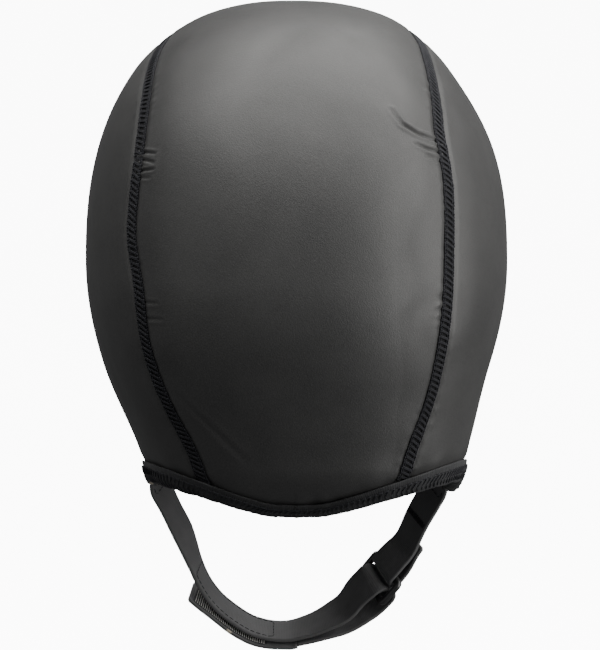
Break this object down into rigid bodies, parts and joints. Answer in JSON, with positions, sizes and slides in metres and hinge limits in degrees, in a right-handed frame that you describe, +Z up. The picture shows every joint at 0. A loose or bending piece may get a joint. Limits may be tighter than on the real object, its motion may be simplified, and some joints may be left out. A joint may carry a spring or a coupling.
{
  "type": "swim cap",
  "caption": "Soft neoprene swim cap in lined panels with flatlock seams, folded hem and a hook-and-loop chin strap.",
  "frame": {"origin": "inside of the crown, where the top of the head touches the cap", "axes": "+Z up, face towards -Y, wearer's left towards +X"},
  "size_m": [0.1686, 0.2011, 0.2642],
  "materials": {
    "smooth_skin": "fine satin smooth-skin neoprene, charcoal",
    "jersey_lining": "matt knitted jersey, near black",
    "seam_thread": "matt textured polyester thread, near black",
    "hem_tape": "matt knitted binding, near black",
    "strap_neoprene": "thin smooth neoprene band, dark grey",
    "loop_pile": "short loop pile, near black",
    "hook_tape": "moulded hooks on woven tape, dark grey",
    "ring_plastic": "moulded acetal, black satin"
  },
  "bodies": {
    "cap": {"centre_panel": "smooth_skin", "left_panel": "smooth_skin", "right_panel": "smooth_skin", "centre_lining": "jersey_lining", "left_lining": "jersey_lining", "right_lining": "jersey_lining", "left_seam_cover": "seam_thread", "right_seam_cover": "seam_thread", "left_seam_looper": "seam_thread", "right_seam_looper": "seam_thread", "hem_binding": "hem_tape", "hem_stitching": "seam_thread"},
    "chin_strap": {"long_strap": "strap_neoprene", "short_strap": "strap_neoprene", "loop_patch": "loop_pile", "loop_patch_stitching": "seam_thread", "long_root_stitching": "seam_thread", "short_root_stitching": "seam_thread", "ring_bar_tack": "seam_thread"},
    "ring": {"strap_ring": "ring_plastic"},
    "free_end": {"strap_tab": "strap_neoprene", "hook_patch": "hook_tape", "hook_patch_stitching": "seam_thread"}
  },
  "joints": [
    {"name": "strap_swing", "type": "hinge", "parent": "cap", "child": "chin_strap", "pos_m": [0, -0.026, -0.1935], "axis": [-1, 0, 0], "range_deg": [-35, 70], "stiffness_Nm_per_rad": 0.02},
    {"name": "ring_tilt", "type": "hinge", "parent": "chin_strap", "child": "ring", "pos_m": [-0.03712, -0.03485, -0.22901], "axis": [0, 0.9703, -0.2419], "range_deg": [-4, 8]},
    {"name": "tab_peel", "type": "hinge", "parent": "chin_strap", "child": "free_end", "pos_m": [-0.00286, -0.04198, -0.25758], "axis": [0, 0.9703, -0.2419], "range_deg": [0, 110]}
  ]
}
